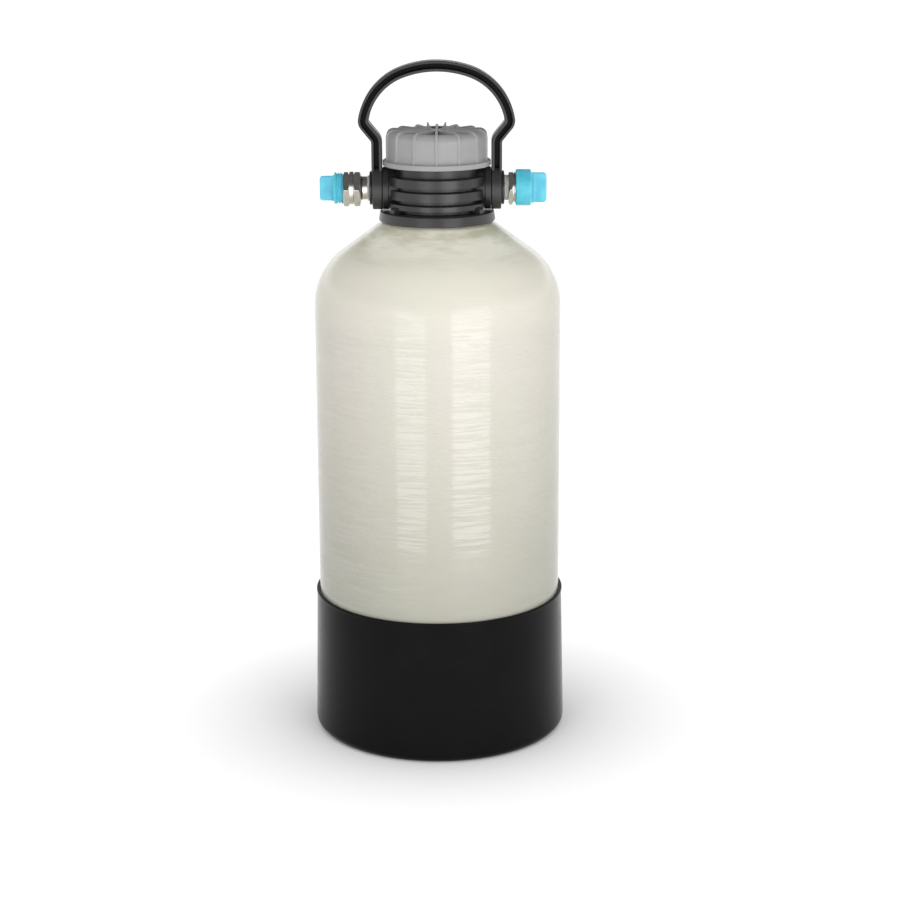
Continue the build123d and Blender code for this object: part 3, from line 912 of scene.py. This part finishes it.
def fill_cap_shape():
    """Crown, panels and ribs as one skin whose columns follow the ribs at every radius."""
    pitch = 2 * pi / rib_count
    even = cos(pitch / 2) ** 0.5
    rings = []
    for (panel_x, panel_z), (rib_x, rib_z) in cap_rows():
        flatness = min(1.0, max(0.0, (panel_x - facet_start_r) / (facet_full_r - facet_start_r)))
        if panel_z <= rim_h + wall_fillet:
            flatness = 0.0
        ring = []
        for rib in range(rib_count):
            centre = rib * pitch - pi / 2
            for turn, weight in rib_columns(pitch, panel_x):
                facet = panel_x * (1 + flatness * (even / cos(turn - pitch / 2) - 1))
                r = facet + (rib_x - facet) * weight
                z = panel_z + (rib_z - panel_z) * weight
                ring.append((r * cos(centre + turn), r * sin(centre + turn), rim_z + z))
        rings.append(ring)
    inside = rounded(
        (rim_r, rim_h, rim_edge),
        (rim_r, 0, 0.5),
        (cap_bore, 0, 0.5),
        (cap_bore, cap_ceiling, 1.0),
        (0, cap_ceiling, 0),
    )
    last_turns = [atan2(y, x) for x, y, _ in rings[-1]]
    for r, z in inside:
        rings.append([(r * cos(t), r * sin(t), rim_z + z) for t in last_turns])
    middle_z = rim_z + rib_top - rib_fall
    first_turns = [atan2(y, x) for x, y, _ in rings[0]]
    hub = []
    for r, rise in ((0.0, 0.2), (3.4, 0.2), (4.1, 0.0)):
        hub.append([(r * cos(t), r * sin(t), middle_z + rise) for t in first_turns])
    return skin(hub + rings)


def spanner_lug(side):
    """One of the two upright lugs in the middle of the crown."""
    low = panel_top - dish_drop - dish_fall
    outline = rounded(
        (spanner_lug_r, low, 0),
        (spanner_lug_r, spanner_lug_top, 0.3),
        (spanner_lug_r - spanner_lug_land, spanner_lug_top, 0.3),
        (spanner_lug_r - spanner_lug_w, low, 0),
    )
    return moved(prism(outline, spanner_lug_t, 0.3), z=rim_z, turn=pi * side)


def build_fill_cap():
    """The ribbed cap with its two spanner lugs."""
    cap = carved(carved(fill_cap_shape(), spanner_lug(0), "UNION"), spanner_lug(1), "UNION")
    piece("ribbed_cap", cap, "fill_cap", "fill_cap", "fill_cap", crease=50)


# Couplings

def broken_hex(flats, low, high, bore):
    """A hexagon with turned-down rims and softened corners."""
    corner_r = flats / sqrt(3)
    rim_r = flats / 2 + 0.15
    turn_down = (corner_r - rim_r) * tan(radians(30))
    soft = min(1.0, 0.8 * (high - low - 2 * turn_down))
    barrel = lathe(
        rounded(
            (0, low, 0), (rim_r, low, 0.3), (corner_r + 0.1, low + turn_down, soft),
            (corner_r + 0.1, high - turn_down, soft), (rim_r, high, 0.3), (0, high, 0),
        )
    )
    body = carved(hex_bar(flats, low - 1, high + 1, 0.8), barrel, "INTERSECT")
    return carved(body, plug_tool(bore, low - CUT_PAST, high + CUT_PAST, PORT_SIDES), "DIFFERENCE")


def build_inlet():
    """The nipple in the inlet port, and the nut that swivels on its tail."""
    stem = rounded(
        (passage_r, nipple_in, 0.3),
        (pipe_r, nipple_in, 0.5),
        (pipe_r, inlet_tape_end, 0.2),
        (neck_r, inlet_tape_end + 0.4, 0.3),
        (neck_r, hex_in - 1.6, 0.8),
        (neck_r + 1.5, hex_in + 0.2, 0.2),
        (neck_r + 1.5, hex_in + 1.0, 0),
        (passage_r, hex_in + 1.0, 0),
    )
    tail = rounded(
        (passage_r, hex_out - 1.0, 0),
        (tail_r, hex_out - 1.0, 0),
        (tail_r, tail_flange_in, 0.2),
        (tail_flange_r, tail_flange_in, 0.3),
        (tail_flange_r, tail_flange_out, 0.3),
        (passage_r, tail_flange_out, 0.3),
    )
    hexagon = broken_hex(hex_flats, hex_in, hex_out, passage_r)
    body = joined(lathe(stem, PORT_SIDES), hexagon, lathe(tail, PORT_SIDES))
    piece("inlet_nipple", on_port(-1, body), ROOT, "nickel", "inlet_nipple")
    collar = rounded(
        (nut_lip_r, nut_in, 0.3),
        (nut_collar_r, nut_in, 0.5),
        (nut_collar_r, nut_hex_in + 0.6, 0),
        (nut_bore_r, nut_hex_in + 0.6, 0),
        (nut_bore_r, nut_in + nut_lip_w, 0.2),
        (nut_lip_r, nut_in + nut_lip_w, 0.2),
    )
    nut = joined(lathe(collar, PORT_SIDES), broken_hex(hex_flats, nut_hex_in, nut_out, nut_bore_r))
    piece("swivel_nut", on_port(-1, nut), "swivel_nut", "nickel", "swivel_nut")


def build_outlet():
    """The nipple in the outlet port, with a thin hexagon and a thread for a hose."""
    stem = rounded(
        (passage_r, nipple_in, 0.3),
        (pipe_r, nipple_in, 0.5),
        (pipe_r, outlet_tape_end + 0.5, 0),
        (passage_r, outlet_tape_end + 0.5, 0),
    )
    thread = threaded(
        outlet_hex_out - 0.3, outlet_thread_end, hose_thread_r, hose_root_r, hose_lead, passage_r
    )
    hexagon = broken_hex(outlet_hex_flats, outlet_tape_end, outlet_hex_out, passage_r)
    body = joined(lathe(stem, PORT_SIDES), hexagon, thread)
    piece("outlet_nipple", on_port(1, body), ROOT, "nickel", "outlet_nipple")


def build_tapes():
    """Thread tape wound on the pipe end of each nipple."""
    for way, side, end in (("inlet", -1, inlet_tape_end), ("outlet", 1, outlet_tape_end)):
        wraps = threaded(
            nipple_in, end, tape_r, tape_root_r, tape_pitch, pipe_r + 0.05, rows_a_turn=8, fade=0.5
        )
        piece(f"{way}_tape", on_port(side, wraps), ROOT, "tape", f"{way}_thread_tape")


def quarter_drop(radius, past):
    """How far a quarter round has fallen away, past its start by a length."""
    return radius - sqrt(max(0.0, radius**2 - max(0.0, past) ** 2))


def tab(low, high, height, corner, flare):
    """A flat thumb tab along Z: rounded end, softened edges and a flared root."""
    edge = 0.9
    stations = [low - 0.6, low - 0.2]
    stations += [low + (high - corner - low) * k / 8 for k in range(9)]
    stations += [high - corner + corner * sin(pi / 2 * k / 8) for k in range(1, 9)]
    rings = []
    for z in stations:
        drop = min(quarter_drop(corner, z - high + corner), corner * 0.92)
        close = quarter_drop(edge, z - high + edge)
        root = max(0.0, 1 - (z - low) / flare)
        half_h = height / 2 - drop + 0.5 * root**2
        half_w = tab_w / 2 - close * 0.9 + 1.6 * root**2.5
        soft = min(edge, half_w * 0.8)
        outline = rounded(
            (half_w, -half_h, soft), (half_w, half_h, soft), (-half_w, half_h, soft), (-half_w, -half_h, soft)
        )
        rings.append([(x, y, z) for x, y in outline])
    return skin(rings, closed=False)


def build_plug():
    """A hollow threaded nose, a solid shoulder and a thumb tab."""
    nose = threaded(plug_nose, plug_shoulder, plug_thread_r, plug_root_r, hose_lead, 7.0, fade=0.6)
    shoulder = rounded(
        (0, plug_nose + 7, 0),
        (plug_root_r - 0.3, plug_nose + 7, 0),
        (plug_root_r - 0.3, plug_shoulder - 0.8, 0),
        (plug_thread_r - 0.1, plug_shoulder - 0.4, 0.4),
        (plug_thread_r - 0.1, plug_thread_end, 0.7),
        (0, plug_thread_end, 0),
    )
    grip = tab(plug_thread_end, plug_tab_end, plug_tab_h, plug_tab_corner, 5.0)
    shape = joined(nose, lathe(shoulder, PORT_SIDES), grip)
    piece("inlet_plug", on_port(-1, shape), "inlet_plug", "dust_cap", "inlet_plug")


def build_outlet_cap():
    """A round cap with a thumb tab."""
    outline = rounded(
        (cap_bore_r, cap_in, 0.4),
        (cap_r - 0.5, cap_in, 0.5),
        (cap_r, cap_in + 0.7, 0.5),
        (cap_r, cap_out - 1.0, 1.0),
        (cap_r - 1.6, cap_out, 0.6),
        (0, cap_out, 0),
        (0, cap_bore_end, 0),
        (cap_bore_r, cap_bore_end, 0.6),
    )
    grip = tab(cap_out, cap_tab_end, cap_tab_h, cap_tab_corner, 4.0)
    piece("outlet_cap", on_port(1, joined(lathe(outline), grip)), "outlet_cap", "dust_cap", "outlet_cap")


def dress_hidden_nodes():
    """The inner parts keep their own solids, smoothed and with the finish of their slot."""
    slots = {part["node"]: part["material_slot"] for part in frame["record"]["subparts"]}
    for name, node in frame["nodes"].items():
        node.data.materials.clear()
        node.data.materials.append(finishes[slots[name]])
        node.data.polygons.foreach_set("use_smooth", [True] * len(node.data.polygons))
        node.data.set_sharp_from_angle(angle=radians(35))


dress_hidden_nodes()
build_vessel()
build_boot()
build_head()
build_handle()
build_fill_cap()
build_inlet()
build_outlet()
build_tapes()
build_plug()
build_outlet_cap()


# Stage, light and camera

def stage_floor():
    """Pale paper that keeps the shadow near the object and turns plain white away from it."""
    shape = bmesh.new()
    half = 40.0
    corners = ((-half, -half, 0), (half, -half, 0), (half, half, 0), (-half, half, 0))
    shape.faces.new([shape.verts.new(corner) for corner in corners])
    ground = as_object("floor", shape)
    material = bpy.data.materials.new("floor")
    material.use_nodes = True
    tree = material.node_tree
    tree.nodes.clear()
    w = Wiring(tree)
    paper = w.node("ShaderNodeBsdfDiffuse", {"Color": (0.90, 0.90, 0.90, 1.0)})
    glow = w.node("ShaderNodeEmission", {"Color": (1.0, 1.0, 1.0, 1.0), "Strength": 1.10})
    place = w.node("ShaderNodeTexCoord").outputs["Object"]
    away = w.node("ShaderNodeVectorMath", {0: place}, operation="LENGTH").outputs["Value"]
    open_floor = w.span(w.maths("POWER", w.span(away, 0.10, 0.27), 0.85), 0.0, 1.0, 0.0, 0.95)
    rays = w.node("ShaderNodeLightPath").outputs
    mirrored = w.maths("MAXIMUM", rays["Is Glossy Ray"], rays["Is Transmission Ray"])
    share = w.maths("MULTIPLY", open_floor, w.maths("MAXIMUM", rays["Is Camera Ray"], mirrored))
    mixed = w.node("ShaderNodeMixShader", {0: share, 1: paper.outputs[0], 2: glow.outputs[0]})
    w.node("ShaderNodeOutputMaterial", {"Surface": mixed.outputs[0]})
    ground.data.materials.append(material)


def room_light():
    """Soft light that grows upwards, a bright band low round the room, and plain white to look at."""
    world = bpy.data.worlds.new("room")
    bpy.context.scene.world = world
    world.use_nodes = True
    tree = world.node_tree
    tree.nodes.clear()
    w = Wiring(tree)
    direction = w.node("ShaderNodeTexCoord").outputs["Generated"]
    up = w.node("ShaderNodeSeparateXYZ", {0: direction}).outputs["Z"]
    low_ring = w.maths("MULTIPLY", w.span(up, 0.04, 0.09), w.span(up, 0.20, 0.30, 1.0, 0.0))
    band = w.maths("MULTIPLY", low_ring, 0.55)
    strength = w.maths("ADD", w.span(up, 0.05, 0.60, 0.33, 0.82), band)
    room = w.node("ShaderNodeBackground", {"Color": (1.0, 1.0, 1.0, 1.0), "Strength": strength})
    shown = w.maths("ADD", w.span(up, 0.10, 0.45, 1.0, 0.10), band)
    white = w.node("ShaderNodeBackground", {"Color": (1.0, 1.0, 1.0, 1.0), "Strength": shown})
    rays = w.node("ShaderNodeLightPath").outputs
    mirrored = w.maths("MAXIMUM", rays["Is Glossy Ray"], rays["Is Transmission Ray"])
    seen = w.maths("MAXIMUM", rays["Is Camera Ray"], mirrored)
    mixed = w.node("ShaderNodeMixShader", {0: seen, 1: room.outputs[0], 2: white.outputs[0]})
    w.node("ShaderNodeOutputWorld", {"Surface": mixed.outputs[0]})


def soft_box(name, azimuth, distance, width, height, power):
    """A tall lamp that stands just off the floor and faces the object; azimuth is in degrees from -Y."""
    off_floor = 0.02
    lamp = bpy.data.lights.new(name, "AREA")
    lamp.shape = "RECTANGLE"
    lamp.size = width
    lamp.size_y = height
    lamp.energy = power
    holder = bpy.data.objects.new(name, lamp)
    holder.visible_camera = False
    bpy.context.scene.collection.objects.link(holder)
    turn = radians(azimuth)
    back = Vector((sin(turn), -cos(turn), 0))
    holder.location = back * distance + Vector((0, 0, height / 2 + off_floor))
    holder.rotation_euler = back.to_track_quat("Z", "Y").to_euler()


def camera():
    """Stands in front of the object, a little above its handle, and looks down on it."""
    pitch, roll = radians(14.77), radians(0.25)
    lens = bpy.data.cameras.new("camera")
    lens.sensor_width = 36.0
    lens.lens = 86.4
    holder = bpy.data.objects.new("camera", lens)
    bpy.context.scene.collection.objects.link(holder)
    holder.location = (0.0118, -1.774, 0.7087)
    holder.rotation_euler = (pi / 2 - pitch, roll, 0)
    bpy.context.scene.camera = holder


stage_floor()
room_light()
soft_box("left_box", -23.1, 0.6, 0.27, 0.50, 0.70)
soft_box("right_box", 28.9, 0.6, 0.36, 0.50, 1.25)
camera()

bpy.context.scene.view_settings.view_transform = "Standard"
